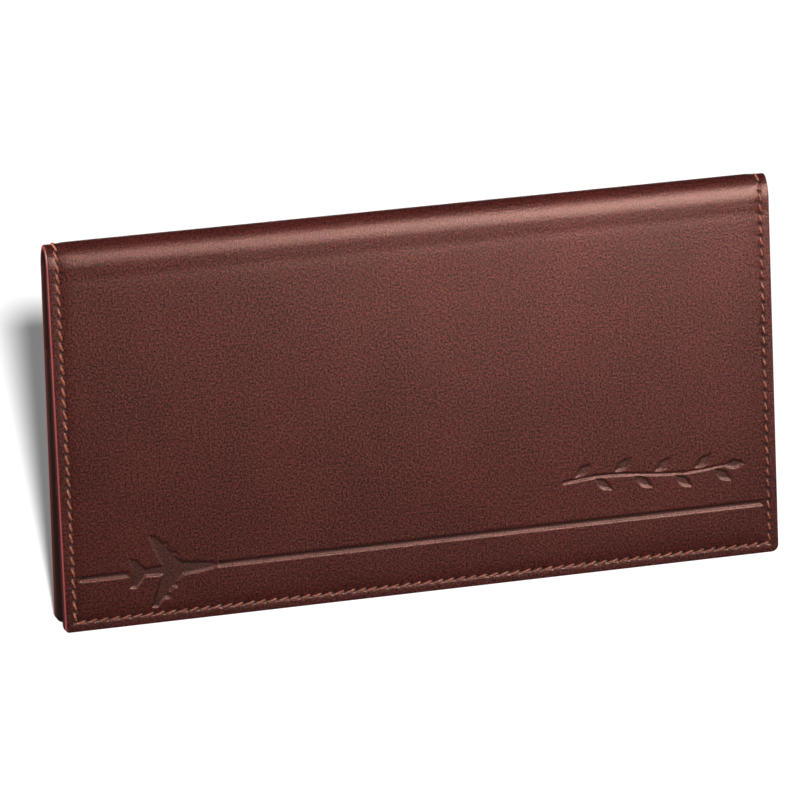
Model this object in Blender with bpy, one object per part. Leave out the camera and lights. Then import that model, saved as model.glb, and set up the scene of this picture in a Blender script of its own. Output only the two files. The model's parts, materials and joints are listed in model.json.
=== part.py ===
"""Long travel wallet in smooth leather, standing on its two lower edges as a narrow tent, with the fold on top.

The wallet is as wide as X, its front cover faces -Y, and the floor is z = 0 under its middle.
Each cover hangs from a fold axis: an empty that lies on the outer face of the leather, where the fold begins.
A cover is a stack of layers. The depth of a layer is counted inwards from the outer face of the leather.
"""

import math

import bmesh
import bpy

MM = 0.001

# Overall sizes
WIDTH = 220.0 * MM
COVER_HEIGHT = 107.4 * MM
FOLD_DEPTH = 9.2 * MM
FOLD_RISE = 7.6 * MM
LEAN = math.radians(1.7)
CORNER_RADIUS = 1.2 * MM

# Layers of a cover, from the outside to the inside, and the clearance between two of them
LEATHER = 1.3 * MM
BOARD = 0.4 * MM
LINING = 0.5 * MM
POCKET = 0.5 * MM
SLOT_STRIP = 0.45 * MM
CLEARANCE = 0.3 * MM
LEATHER_EDGE = 0.25 * MM

# Perimeter seam
THREAD = 0.45 * MM
THREAD_SUNK = 0.05 * MM
SEAM_INSET = 2.9 * MM

# Stiffening boards
BOARD_INSET = 5.5 * MM
BOARD_TOP = 4.0 * MM
BOARD_RADIUS = 1.0 * MM

# Pockets: how far the upper edge of each lies below the fold axis
TICKET_TOP = 26.0 * MM
PASSPORT_TOP = 24.0 * MM
PASSPORT_RIGHT = 26.0 * MM
NOTE_TOP = 34.0 * MM
THUMB_RADIUS = 10.0 * MM
THUMB_STEPS = 12

# Card slots
SLOT_TOP = 36.0 * MM
SLOT_STEP = 14.0 * MM
SLOT_OVERLAP = 3.0 * MM
SLOT_ROWS = ("upper", "middle", "lower")
SLOT_TRIM = 0.2 * MM

# Debossed line, airliner and leaf sprig on the front cover
DEBOSS = 0.35 * MM
LINE_HALF = 0.7 * MM
LINE_HEIGHT = 15.7 * MM
LINE_INSET = 4.9 * MM
AIRLINER_TAIL = 20.0 * MM
AIRLINER_BREAK = 0.6 * MM
SPRIG_RIGHT = 11.0 * MM
SPRIG_LENGTH = 56.0 * MM
SPRIG_HEIGHT = 28.5 * MM
SPRIG_LEAVES = 8
SPRIG_WAVE = 0.9 * MM
SPRIG_STEM = 0.8 * MM
LEAF_LENGTH = 6.0 * MM
LEAF_WIDTH = 2.4 * MM
LEAF_GAP = 0.5 * MM

ARC_STEPS = 6
FOLD_STEPS = 26
OUTSIDE = 1.0 * MM

# Upper half of the airliner in plan, its nose to +X: millimetres ahead of its tail, millimetres off its axis
AIRLINER_HALF = (
    (0.9, 0.8),
    (-0.2, 4.1),
    (1.6, 4.3),
    (4.4, 1.1),
    (9.6, 1.4),
    (6.1, 10.6),
    (7.8, 10.8),
    (9.9, 8.3),
    (11.4, 8.3),
    (11.6, 7.2),
    (10.9, 7.1),
    (12.6, 5.3),
    (14.0, 5.3),
    (14.3, 4.2),
    (13.6, 4.1),
    (15.6, 1.9),
    (22.0, 1.3),
    (25.0, 0.85),
    (25.9, 0.3),
)

HALF_WIDTH = WIDTH / 2
SEAM_X = HALF_WIDTH - SEAM_INSET
SEAM_Z = -(COVER_HEIGHT - SEAM_INSET)
THREAD_DEPTH = THREAD_SUNK + THREAD / 2
GROOVE_DEPTH = THREAD_SUNK + THREAD + CLEARANCE
GROOVE_WIDTH = THREAD + 2 * CLEARANCE
BOARD_DEPTH = LEATHER + CLEARANCE
LINING_DEPTH = BOARD_DEPTH + BOARD + CLEARANCE
POCKET_DEPTH = LINING_DEPTH + LINING + CLEARANCE
SLOT_DEPTH = POCKET_DEPTH + POCKET + CLEARANCE
FOOT_DEPTH = POCKET_DEPTH + POCKET
AXIS_HEIGHT = COVER_HEIGHT * math.cos(LEAN) + FOOT_DEPTH * math.sin(LEAN)
TOP_EDGE = -CLEARANCE / 2


# ---------------------------------------------------------------- scene and materials


def clear_scene():
    for thing in list(bpy.data.objects):
        bpy.data.objects.remove(thing)


def new_collection(name):
    collection = bpy.data.collections.new(name)
    bpy.context.scene.collection.children.link(collection)
    return collection


def leather_material(name, color, roughness):
    material = bpy.data.materials.new(name)
    material.use_nodes = True
    shader = material.node_tree.nodes["Principled BSDF"]
    shader.inputs["Base Color"].default_value = (*color, 1.0)
    shader.inputs["Roughness"].default_value = roughness
    shader.inputs["Metallic"].default_value = 0.0
    return material


# ---------------------------------------------------------------- outlines, as lists of (x, y)


def arc(centre_x, centre_y, radius, start, end, steps=ARC_STEPS):
    """Points on an arc, its angles in degrees."""
    points = []
    for step in range(steps + 1):
        angle = math.radians(start + (end - start) * step / steps)
        points.append((centre_x + radius * math.cos(angle), centre_y + radius * math.sin(angle)))
    return points


def panel_outline(left, right, top, bottom, left_radius=0.0, right_radius=0.0, thumb_x=None):
    """A panel whose lower corners may be round, with a half-round thumb cut in its upper edge at thumb_x."""
    points = [(left, top)]
    if left_radius:
        points += arc(left + left_radius, bottom + left_radius, left_radius, 180, 270)
    else:
        points.append((left, bottom))
    if right_radius:
        points += arc(right - right_radius, bottom + right_radius, right_radius, 270, 360)
    else:
        points.append((right, bottom))
    points.append((right, top))
    if thumb_x is not None:
        points += arc(thumb_x, top, THUMB_RADIUS, 0, -180, THUMB_STEPS)
    return points


def seam_path(offset=0.0):
    """The seam from the fold down the left side, along the lower edge and up the right side.

    A positive offset moves it outwards.
    """
    radius = CORNER_RADIUS + offset
    centre_x = SEAM_X - CORNER_RADIUS
    centre_z = SEAM_Z + CORNER_RADIUS
    points = [(-SEAM_X - offset, TOP_EDGE)]
    points += arc(-centre_x, centre_z, radius, 180, 270)
    points += arc(centre_x, centre_z, radius, 270, 360)
    points.append((SEAM_X + offset, TOP_EDGE))
    return points


def seam_groove_outline():
    """The seam's band, open at the fold, where it runs out past the upper edge of the cover."""
    outer = seam_path(GROOVE_WIDTH / 2)
    inner = seam_path(-GROOVE_WIDTH / 2)
    outer[0] = (outer[0][0], OUTSIDE)
    outer[-1] = (outer[-1][0], OUTSIDE)
    inner[0] = (inner[0][0], OUTSIDE)
    inner[-1] = (inner[-1][0], OUTSIDE)
    return outer + inner[::-1]


def fold_point(angle, depth):
    """A point of the fold's section, as (y, z), at a depth under the outer face. The angle runs from 0 to pi."""
    half = FOLD_DEPTH / 2
    normal_y = -math.cos(angle) / half
    normal_z = math.sin(angle) / FOLD_RISE
    length = math.hypot(normal_y, normal_z)
    y = -half * math.cos(angle) - depth * normal_y / length
    z = AXIS_HEIGHT + FOLD_RISE * math.sin(angle) - depth * normal_z / length
    return y, z


def fold_arc(depth, start):
    """The fold's section at one depth, from the front to the back."""
    span = math.pi - 2 * start
    return [fold_point(start + span * step / FOLD_STEPS, depth) for step in range(FOLD_STEPS + 1)]


def fold_outline(outer_depth, inner_depth, start):
    return fold_arc(outer_depth, start) + fold_arc(inner_depth, start)[::-1]


def line_and_airliner_outlines():
    """The debossed line, which the airliner interrupts. The airliner flies along it to the right."""
    height = LINE_HEIGHT - COVER_HEIGHT
    line_left = -HALF_WIDTH + LINE_INSET
    line_right = HALF_WIDTH - LINE_INSET
    tail = -HALF_WIDTH + AIRLINER_TAIL
    upper = [(line_left, LINE_HALF)] + [(tail + x * MM, y * MM) for x, y in AIRLINER_HALF]
    lower = [(x, -y) for x, y in reversed(upper)]
    airliner = [(x, height + y) for x, y in upper + lower]
    nose = tail + AIRLINER_HALF[-1][0] * MM
    ahead = panel_outline(nose + AIRLINER_BREAK, line_right, height + LINE_HALF, height - LINE_HALF)
    return [airliner, ahead]


def leaf_outline(root_x, root_z, direction):
    """A pointed leaf: two equal arcs, written as a sine along the leaf."""
    half = LEAF_WIDTH / 2
    along = (math.cos(direction), math.sin(direction))
    points = []
    for side in (1, -1):
        for step in range(ARC_STEPS):
            share = step / ARC_STEPS if side == 1 else 1 - step / ARC_STEPS
            run = share * LEAF_LENGTH
            off = side * half * math.sin(math.pi * share)
            points.append((root_x + run * along[0] - off * along[1], root_z + run * along[1] + off * along[0]))
    return points


def sprig_outlines():
    """A stem with leaves to both sides of it in turn, none of which touches the stem."""
    left = HALF_WIDTH - SPRIG_RIGHT - SPRIG_LENGTH
    height = SPRIG_HEIGHT - COVER_HEIGHT
    stem_length = SPRIG_LENGTH - LEAF_LENGTH

    def stem_height(share):
        return height + SPRIG_WAVE * math.sin(2 * math.pi * share)

    steps = 4 * ARC_STEPS
    upper = []
    lower = []
    for step in range(steps + 1):
        share = step / steps
        taper = SPRIG_STEM / 2 * (1 - 0.5 * share)
        upper.append((left + stem_length * share, stem_height(share) + taper))
        lower.append((left + stem_length * share, stem_height(share) - taper))
    outlines = [upper + lower[::-1]]
    for number in range(SPRIG_LEAVES):
        share = (number + 0.6) / SPRIG_LEAVES
        side = 1 if number % 2 == 0 else -1
        root_x = left + stem_length * share
        root_z = stem_height(share) + side * (SPRIG_STEM / 2 + LEAF_GAP)
        outlines.append(leaf_outline(root_x, root_z, side * math.radians(35)))
    outlines.append(leaf_outline(left + stem_length + LEAF_GAP, stem_height(1.0), 0.0))
    return outlines


# ---------------------------------------------------------------- solids


def outline_mesh(name, outlines, thickness, edge=0.0):
    """A flat solid of these outlines in X and Y, centred on z = 0, its edges rounded by edge."""
    curve = bpy.data.curves.new(name + "_outline", "CURVE")
    curve.dimensions = "2D"
    curve.fill_mode = "BOTH"
    curve.extrude = thickness / 2 - edge
    curve.bevel_depth = edge
    curve.bevel_resolution = 1
    curve.offset = -edge
    for outline in outlines:
        spline = curve.splines.new("POLY")
        spline.points.add(len(outline) - 1)
        for point, (x, y) in zip(spline.points, outline):
            point.co = (x, y, 0.0, 1.0)
        spline.use_cyclic_u = True
    holder = bpy.data.objects.new(name + "_outline", curve)
    bpy.context.scene.collection.objects.link(holder)
    evaluated = holder.evaluated_get(bpy.context.evaluated_depsgraph_get())
    mesh = bpy.data.meshes.new_from_object(evaluated)
    mesh.name = name
    welded = bmesh.new()
    welded.from_mesh(mesh)
    bmesh.ops.remove_doubles(welded, verts=welded.verts, dist=0.001 * MM)
    bmesh.ops.recalc_face_normals(welded, faces=welded.faces)
    welded.to_mesh(mesh)
    welded.free()
    bpy.data.objects.remove(holder)
    return mesh


def add_object(collection, name, data, material=None, parent=None):
    thing = bpy.data.objects.new(name, data)
    collection.objects.link(thing)
    thing.parent = parent
    if material:
        data.materials.append(material)
    return thing


def cut(thing, cutter):
    cutter.hide_render = True
    cutter.display_type = "WIRE"
    boolean = thing.modifiers.new("cut_" + cutter.name, "BOOLEAN")
    boolean.object = cutter
    boolean.operation = "DIFFERENCE"
    boolean.solver = "EXACT"


def thread_tube(collection, name, points, material, parent=None):
    """A thread along these (x, y, z) points."""
    curve = bpy.data.curves.new(name, "CURVE")
    curve.dimensions = "3D"
    curve.bevel_depth = THREAD / 2
    curve.bevel_resolution = 2
    curve.use_fill_caps = True
    spline = curve.splines.new("POLY")
    spline.points.add(len(points) - 1)
    for point, place in zip(spline.points, points):
        point.co = (*place, 1.0)
    return add_object(collection, name, curve, material, parent)


class Cover:
    """One cover: its fold axis, and the sign of Y that points into the wallet from its outer face."""

    def __init__(self, name, inward, parts, cutters):
        self.name = name
        self.inward = inward
        self.parts = parts
        self.cutters = cutters
        self.axis = bpy.data.objects.new(name + "_fold_axis", None)
        parts.objects.link(self.axis)
        self.axis.location = (0.0, -inward * FOLD_DEPTH / 2, AXIS_HEIGHT)
        self.axis.rotation_euler = (-inward * LEAN, 0.0, 0.0)

    def layer(self, name, outlines, depth, thickness, material, edge=0.0, cutter=False):
        """A flat layer whose outer face lies at depth."""
        mesh = outline_mesh(name, outlines, thickness, edge)
        collection = self.cutters if cutter else self.parts
        thing = add_object(collection, name, mesh, material, self.axis)
        thing.location = (0.0, self.inward * (depth + thickness / 2), 0.0)
        thing.rotation_euler = (math.pi / 2, 0.0, 0.0)
        return thing

    def recess(self, thing, name, outlines, depth):
        """Cuts the outlines into the outer face of a layer, down to depth."""
        cutter = self.layer(name, outlines, -OUTSIDE, OUTSIDE + depth, None, cutter=True)
        cut(thing, cutter)

    def straight_thread(self, name, x, top, depth, material):
        y = self.inward * depth
        points = [(x, y, top), (x, y, SEAM_Z)]
        return thread_tube(self.parts, name, points, material, self.axis)


# ---------------------------------------------------------------- sub-parts of a cover


def make_outer_leather(cover, material):
    outline = panel_outline(-HALF_WIDTH, HALF_WIDTH, TOP_EDGE, -COVER_HEIGHT, CORNER_RADIUS, CORNER_RADIUS)
    leather = cover.layer(cover.name + "_leather", [outline], 0.0, LEATHER, material, LEATHER_EDGE)
    cover.recess(leather, cover.name + "_seam_groove", [seam_groove_outline()], GROOVE_DEPTH)
    return leather


def make_seam_thread(cover, material):
    y = cover.inward * THREAD_DEPTH
    points = [(x, y, z) for x, z in seam_path()]
    thread_tube(cover.parts, cover.name + "_seam_thread", points, material, cover.axis)


def make_board(cover, material):
    side = HALF_WIDTH - BOARD_INSET
    bottom = -(COVER_HEIGHT - BOARD_INSET)
    outline = panel_outline(-side, side, -BOARD_TOP, bottom, BOARD_RADIUS, BOARD_RADIUS)
    cover.layer(cover.name + "_board", [outline], BOARD_DEPTH, BOARD, material)


def make_lining(cover, material):
    outline = panel_outline(-HALF_WIDTH, HALF_WIDTH, TOP_EDGE, -COVER_HEIGHT, CORNER_RADIUS, CORNER_RADIUS)
    cover.layer(cover.name + "_lining", [outline], LINING_DEPTH, LINING, material)


def make_ticket_pocket(cover, material):
    outline = panel_outline(-HALF_WIDTH, HALF_WIDTH, -TICKET_TOP, -COVER_HEIGHT, CORNER_RADIUS, CORNER_RADIUS)
    cover.layer("ticket_pocket", [outline], POCKET_DEPTH, POCKET, material)


def make_card_slots(cover, material):
    """Two columns of strips. Each strip leans, so that its lower edge is tucked behind the next one's upper edge."""
    seam_side = THREAD / 2 + CLEARANCE
    reach = SLOT_STEP + SLOT_OVERLAP
    rise = (SLOT_STRIP + CLEARANCE) * reach / SLOT_STEP
    for column, left, right in (("left", -HALF_WIDTH, -seam_side), ("right", seam_side, HALF_WIDTH)):
        for row, row_name in enumerate(SLOT_ROWS):
            top = SLOT_TOP + row * SLOT_STEP
            last = row == len(SLOT_ROWS) - 1
            length = COVER_HEIGHT - SLOT_TRIM - top if last else reach
            radius = CORNER_RADIUS if last else 0.0
            left_radius = radius if column == "left" else 0.0
            right_radius = radius if column == "right" else 0.0
            outline = panel_outline(left, right, 0.0, -length, left_radius, right_radius)
            name = f"card_slot_{column}_{row_name}"
            strip = cover.layer(name, [outline], SLOT_DEPTH + rise, SLOT_STRIP, material)
            strip.location.z = -top
            strip.rotation_euler.x -= cover.inward * math.asin(rise / length)
    return SLOT_DEPTH + THREAD / 2


def make_back_pockets(cover, material, thread_material):
    """The passport pocket and the note pocket, side by side, with the thread of their seam between them."""
    passport_x = (PASSPORT_RIGHT - HALF_WIDTH) / 2
    passport = panel_outline(-HALF_WIDTH, PASSPORT_RIGHT, -PASSPORT_TOP, -COVER_HEIGHT, CORNER_RADIUS,
                             thumb_x=passport_x)
    cover.layer("passport_pocket", [passport], POCKET_DEPTH, POCKET, material)
    note_left = PASSPORT_RIGHT + THREAD + 2 * CLEARANCE
    note = panel_outline(note_left, HALF_WIDTH, -NOTE_TOP, -COVER_HEIGHT, right_radius=CORNER_RADIUS)
    cover.layer("note_pocket", [note], POCKET_DEPTH, POCKET, material)
    thread_x = PASSPORT_RIGHT + CLEARANCE + THREAD / 2
    thread_depth = POCKET_DEPTH + THREAD / 2
    cover.straight_thread("pocket_divider_thread", thread_x, -NOTE_TOP, thread_depth, thread_material)


# ---------------------------------------------------------------- sub-parts of the fold


def make_fold_layer(collection, name, outer_depth, thickness, material):
    start = math.asin(CLEARANCE / 2 / FOLD_RISE)
    outline = fold_outline(outer_depth, outer_depth + thickness, start)
    mesh = outline_mesh(name, [outline], WIDTH)
    thing = add_object(collection, name, mesh, material)
    thing.rotation_euler = (math.pi / 2, 0.0, math.pi / 2)
    return thing


def cut_fold_groove(leather, cutters, side_name, x):
    """The seam's groove goes over the fold and runs out past both its lower edges."""
    past_edge = -0.2
    name = "fold_groove_" + side_name
    outline = fold_outline(-OUTSIDE, GROOVE_DEPTH, past_edge)
    cutter = add_object(cutters, name, outline_mesh(name, [outline], GROOVE_WIDTH))
    cutter.location.x = x
    cutter.rotation_euler = (math.pi / 2, 0.0, math.pi / 2)
    cut(leather, cutter)


def make_spine_thread(collection, side_name, x, material):
    start = math.asin(CLEARANCE / 2 / FOLD_RISE)
    points = [(x, y, z) for y, z in fold_arc(THREAD_DEPTH, start)]
    thread_tube(collection, "spine_thread_" + side_name, points, material)


# ---------------------------------------------------------------- the wallet


def main():
    clear_scene()
    parts = new_collection("travel_wallet")
    cutters = new_collection("cutters")
    outer_leather = leather_material("outer_leather", (0.105, 0.034, 0.026), 0.45)
    lining_leather = leather_material("lining_leather", (0.045, 0.018, 0.015), 0.55)
    board_material = leather_material("stiffening_board", (0.35, 0.28, 0.2), 0.9)
    thread_material = leather_material("seam_thread", (0.45, 0.13, 0.06), 0.6)

    spine_leather = make_fold_layer(parts, "spine_leather", 0.0, LEATHER, outer_leather)
    make_fold_layer(parts, "spine_lining", LEATHER + CLEARANCE, LINING, lining_leather)
    for side_name, x in (("left", -SEAM_X), ("right", SEAM_X)):
        cut_fold_groove(spine_leather, cutters, side_name, x)
        make_spine_thread(parts, side_name, x, thread_material)

    front = Cover("front", 1.0, parts, cutters)
    back = Cover("back", -1.0, parts, cutters)
    for cover in (front, back):
        leather = make_outer_leather(cover, outer_leather)
        make_seam_thread(cover, thread_material)
        make_board(cover, board_material)
        make_lining(cover, lining_leather)
        if cover is front:
            front.recess(leather, "line_and_airliner", line_and_airliner_outlines(), DEBOSS)
            front.recess(leather, "leaf_sprig", sprig_outlines(), DEBOSS)
    make_ticket_pocket(front, lining_leather)
    slot_thread_depth = make_card_slots(front, lining_leather)
    front.straight_thread("card_divider_thread", 0.0, -SLOT_TOP, slot_thread_depth, thread_material)
    make_back_pockets(back, lining_leather, thread_material)


main()
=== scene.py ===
"""The looks of the long travel wallet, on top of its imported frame.

Every leather layer is drawn flat, as a saddler cuts it: x runs along the wallet's width, s down from the
fold line, and depth inwards from the outer face. The seam, the stitch holes and the debossed pattern are
pressed into the flat sheet, which is then laid on the leaning cover and bent over the fold. A negative s
lies on the fold, up to its crown.
"""
import json
import math

import bmesh
import bpy
import numpy as np
from mathutils import Matrix, Vector


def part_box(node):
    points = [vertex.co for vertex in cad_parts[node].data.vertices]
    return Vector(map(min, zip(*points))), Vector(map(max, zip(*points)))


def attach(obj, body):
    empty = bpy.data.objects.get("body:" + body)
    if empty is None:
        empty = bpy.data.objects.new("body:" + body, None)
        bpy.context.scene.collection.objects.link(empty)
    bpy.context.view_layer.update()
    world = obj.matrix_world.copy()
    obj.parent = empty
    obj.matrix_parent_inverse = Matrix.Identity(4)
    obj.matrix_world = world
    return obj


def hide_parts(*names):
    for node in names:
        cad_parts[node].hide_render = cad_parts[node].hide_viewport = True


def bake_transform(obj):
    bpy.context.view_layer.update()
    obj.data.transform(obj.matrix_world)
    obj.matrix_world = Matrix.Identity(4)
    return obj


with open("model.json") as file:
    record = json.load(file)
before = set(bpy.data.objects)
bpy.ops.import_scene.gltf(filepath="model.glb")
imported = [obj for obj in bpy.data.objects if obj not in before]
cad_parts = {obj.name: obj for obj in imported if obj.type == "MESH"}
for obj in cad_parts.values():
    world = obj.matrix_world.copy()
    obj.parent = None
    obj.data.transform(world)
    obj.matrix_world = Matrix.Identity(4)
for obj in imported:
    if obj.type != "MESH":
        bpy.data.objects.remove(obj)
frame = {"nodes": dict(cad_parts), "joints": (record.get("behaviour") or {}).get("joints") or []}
bpy.context.view_layer.update()

MM = 0.001

# ---------------------------------------------------------------- sizes from the frame

FOLD_JOINT = next(joint for joint in frame["joints"] if joint["name"] == "front_fold")
HALF_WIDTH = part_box("front_leather")[1].x
AXIS_Y = -FOLD_JOINT["pos_m"][1]
AXIS_Z = FOLD_JOINT["pos_m"][2]
LEAN = -math.radians(FOLD_JOINT["range_deg"][0])
FOLD_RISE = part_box("spine_leather")[1].z - AXIS_Z

# depths of the layers under the outer face, as the part has them
HIDE_BACK = 1.3 * MM
LINING_FACE = 2.3 * MM
LINING_BACK = 2.8 * MM
FOLD_LINING_FACE = 1.6 * MM
FOLD_LINING_BACK = 2.1 * MM
POCKET_FACE = 3.1 * MM
POCKET_BACK = 3.6 * MM
SLOT_FACE = 3.9 * MM
SLOT_STRIP = 0.45 * MM
CONTACT = 0.03 * MM
COVER_HEIGHT = (AXIS_Z - POCKET_BACK * math.sin(LEAN)) / math.cos(LEAN)

# where the pieces of the inside begin, measured down from the fold line
TICKET_TOP = 26 * MM
PASSPORT_TOP = 24 * MM
NOTE_TOP = 34 * MM
SLOT_TOP = 36 * MM
SLOT_STEP = 14 * MM
SLOT_OVERLAP = 3 * MM
SLOT_RISE = 0.911 * MM
SLOT_HOLD = 0.9  # share by which the edge seam presses the slot strips down onto the pocket
PASSPORT_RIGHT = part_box("passport_pocket")[1].x
NOTE_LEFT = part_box("note_pocket")[0].x
THUMB_X = -42 * MM
THUMB_RADIUS = 10 * MM

# the seam
SEAM_INSET = 2.9 * MM
STITCH_PITCH = 3.4 * MM
HOLE_SHIFT = 0.18 * MM  # the tight thread drags each hole open towards the middle of the cover
THREAD_WIDTH = 0.62 * MM
STITCH_SLANT = math.radians(19)
STITCH_LENGTH = STITCH_PITCH * 0.86
STITCH_RISE = 0.28 * MM
STITCH_SINK = 0.3 * MM
THREAD_DEPTH = 0.4 * MM
TIGHT_THREAD_DEPTH = 0.62 * MM
INNER_STITCH_LIFT = 0.25 * MM
POCKET_STITCH_SINK = 0.32 * MM
HOLE_DEPTH = 0.24 * MM
HOLE_LONG = 0.7 * MM
HOLE_SHORT = 0.4 * MM
HOLE_TURN = math.radians(-52)
HOLE_REACH = 1.3 * MM
FRONT_RADII = (1.0 * MM, 2.2 * MM)  # of the lower left and lower right corner, seen from the front
BACK_RADII = (2.2 * MM, 2.2 * MM)

# relief of the leather
EDGE_DIP = 0.26 * MM
EDGE_SWELL = 0.03 * MM
THREAD_VALLEY = 0.12 * MM
FOLD_DIP = 0.07 * MM
PANEL_WAVE = 0.05 * MM
CREASE_DEPTH = 0.09 * MM
CREASE_INSET = 1.6 * MM
HIDE_ROUND = 0.45 * MM
LINING_ROUND = 0.15 * MM
SLOT_ROUND = 0.13 * MM
COLUMN_GAP = 1.05 * MM

# the debossed pattern
DEBOSS_DEPTH = 0.42 * MM
DEBOSS_WALL = 0.85 * MM
# step used to find the pattern's walls that face down, which get painted shade
DOWN_WALL_STEP = 0.25 * MM
LINE_HEIGHT = 15.7 * MM
LINE_HALF = 0.7 * MM
LINE_INSET = 4.9 * MM
TAIL_X = -HALF_WIDTH + 20 * MM
AIRLINER_BREAK = 0.6 * MM
AIRLINER_HALF = [
    (0.9, 0.8), (-0.2, 4.1), (1.6, 4.3), (4.4, 1.1), (9.6, 1.4), (6.1, 10.6), (7.8, 10.8), (9.9, 8.3),
    (11.4, 8.3), (11.6, 7.2), (10.9, 7.1), (12.6, 5.3), (14.0, 5.3), (14.3, 4.2), (13.6, 4.1), (15.6, 1.9),
    (22.0, 1.3), (25.0, 0.85), (25.9, 0.3),
]  # millimetres ahead of the tail and off the axis
SPRIG_LEFT = HALF_WIDTH - 67 * MM
SPRIG_STEM_LENGTH = 50 * MM
SPRIG_HEIGHT = 28.5 * MM
SPRIG_WAVE = 0.9 * MM
SPRIG_STEM = 0.8 * MM
SPRIG_LEAVES = 8
LEAF_LENGTH = 6 * MM
LEAF_WIDTH = 2.4 * MM
LEAF_GAP = 0.5 * MM

# the sheets' mesh
CELL = 2 * MM
PARTS = 8
CROWN_STRIP = 0.1 * MM
EDGE_PARTS = np.array([0, 0.03, 0.07, 0.13, 0.22, 0.35, 0.52, 0.74, 1.0])
EVEN_PARTS = np.linspace(0, 1, PARTS + 1)

# ---------------------------------------------------------------- the fold's section

ARC_ANGLES = np.linspace(0, math.pi / 2, 721)
ARC_POINTS = np.stack([-AXIS_Y * np.cos(ARC_ANGLES), FOLD_RISE * np.sin(ARC_ANGLES)], axis=1)
ARC_RUN = np.concatenate([[0], np.cumsum(np.linalg.norm(np.diff(ARC_POINTS, axis=0), axis=1))])
CROWN = -ARC_RUN[-1]


def smooth(low, high, value):
    """0 below low, 1 above high, with an easy passage between them."""
    share = np.clip((value - low) / (high - low), 0, 1)
    return share * share * (3 - 2 * share)


def mix(a, b, share):
    return a + (b - a) * share


def hump(value, middle, width):
    """1 at the middle, falling to 0 on both sides as a bell."""
    return np.exp(-(((value - middle) / width) ** 2))


def linked(name, data):
    """A new object of the scene."""
    thing = bpy.data.objects.new(name, data)
    bpy.context.scene.collection.objects.link(thing)
    return thing


def section(s):
    """Point (y, z) of the outer face and the inward normal there, for the front half."""
    angle = np.interp(-s, ARC_RUN, ARC_ANGLES)
    below = np.maximum(s, 0)
    y = -AXIS_Y * np.cos(angle) - below * math.sin(LEAN)
    z = AXIS_Z + FOLD_RISE * np.sin(angle) - below * math.cos(LEAN)
    tilt = np.arctan2(np.sin(angle) / FOLD_RISE, np.cos(angle) / AXIS_Y)
    tilt = tilt + LEAN * smooth(-3 * MM, 1 * MM, s)
    return y, z, np.cos(tilt), -np.sin(tilt)


def laid(x, s, depth, side):
    """Points of the flat sheet on the standing wallet. side is 1 for the front and -1 for the back."""
    y, z, normal_y, normal_z = section(s)
    return np.stack([x, side * (y + depth * normal_y), z + depth * normal_z], axis=-1)


# ---------------------------------------------------------------- the debossed pattern

def distance(points, outline):
    """Signed distance of points from a closed outline, negative inside."""
    start = np.asarray(outline, float)
    end = np.roll(start, -1, axis=0)
    edge = end - start
    away = points[:, None, :] - start[None]
    share = np.clip((away * edge).sum(-1) / (edge * edge).sum(-1), 0, 1)
    nearest = np.linalg.norm(away - share[..., None] * edge, axis=-1).min(1)
    crosses = (start[:, 1] > points[:, 1, None]) != (end[:, 1] > points[:, 1, None])
    rise = np.where(edge[:, 1] == 0, 1e-12, edge[:, 1])
    at = start[:, 0] + (points[:, 1, None] - start[:, 1]) * edge[:, 0] / rise
    inside = (crosses & (points[:, 0, None] < at)).sum(1) % 2 == 1
    return np.where(inside, -nearest, nearest)


def stem_height(share):
    return SPRIG_HEIGHT + SPRIG_WAVE * math.sin(2 * math.pi * share)


def leaf(root_x, root_h, direction):
    """A pointed leaf: two equal arcs, written as a sine along the leaf."""
    along = (math.cos(direction), math.sin(direction))
    points = []
    for side in (1, -1):
        for step in range(10):
            share = step / 10 if side == 1 else 1 - step / 10
            run = share * LEAF_LENGTH
            off = side * LEAF_WIDTH / 2 * math.sin(math.pi * share)
            x = root_x + run * along[0] - off * along[1]
            height = root_h + run * along[1] + off * along[0]
            points.append((x, height))
    return points


def pattern_outlines():
    """Line, airliner and leaf sprig as outlines of x and height above the lower edge."""
    line_left = -HALF_WIDTH + LINE_INSET
    line_right = HALF_WIDTH - LINE_INSET
    upper = [(line_left, LINE_HALF), (TAIL_X - AIRLINER_BREAK, LINE_HALF)]
    nose = TAIL_X + AIRLINER_HALF[-1][0] * MM
    airliner = [(TAIL_X + x * MM, y * MM) for x, y in AIRLINER_HALF]
    airliner += [(x, -y) for x, y in reversed(airliner)]
    behind = upper + [(x, -y) for x, y in reversed(upper)]
    ahead = [(nose + AIRLINER_BREAK, LINE_HALF), (line_right, LINE_HALF)]
    ahead += [(x, -y) for x, y in reversed(ahead)]
    outlines = [[(x, LINE_HEIGHT + y) for x, y in shape] for shape in (behind, airliner, ahead)]
    steps = 40
    stem = []
    for side in (1, -1):
        for step in range(steps + 1):
            share = step / steps if side == 1 else 1 - step / steps
            taper = SPRIG_STEM / 2 * (1 - 0.5 * share)
            stem.append((SPRIG_LEFT + SPRIG_STEM_LENGTH * share, stem_height(share) + side * taper))
    outlines.append(stem)
    for number in range(SPRIG_LEAVES):
        share = (number + 0.6) / SPRIG_LEAVES
        side = 1 if number % 2 == 0 else -1
        root_h = stem_height(share) + side * (SPRIG_STEM / 2 + LEAF_GAP)
        outlines.append(leaf(SPRIG_LEFT + SPRIG_STEM_LENGTH * share, root_h, side * math.radians(35)))
    outlines.append(leaf(SPRIG_LEFT + SPRIG_STEM_LENGTH + LEAF_GAP, stem_height(1.0), 0.0))
    return outlines


PATTERN = pattern_outlines()


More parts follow.
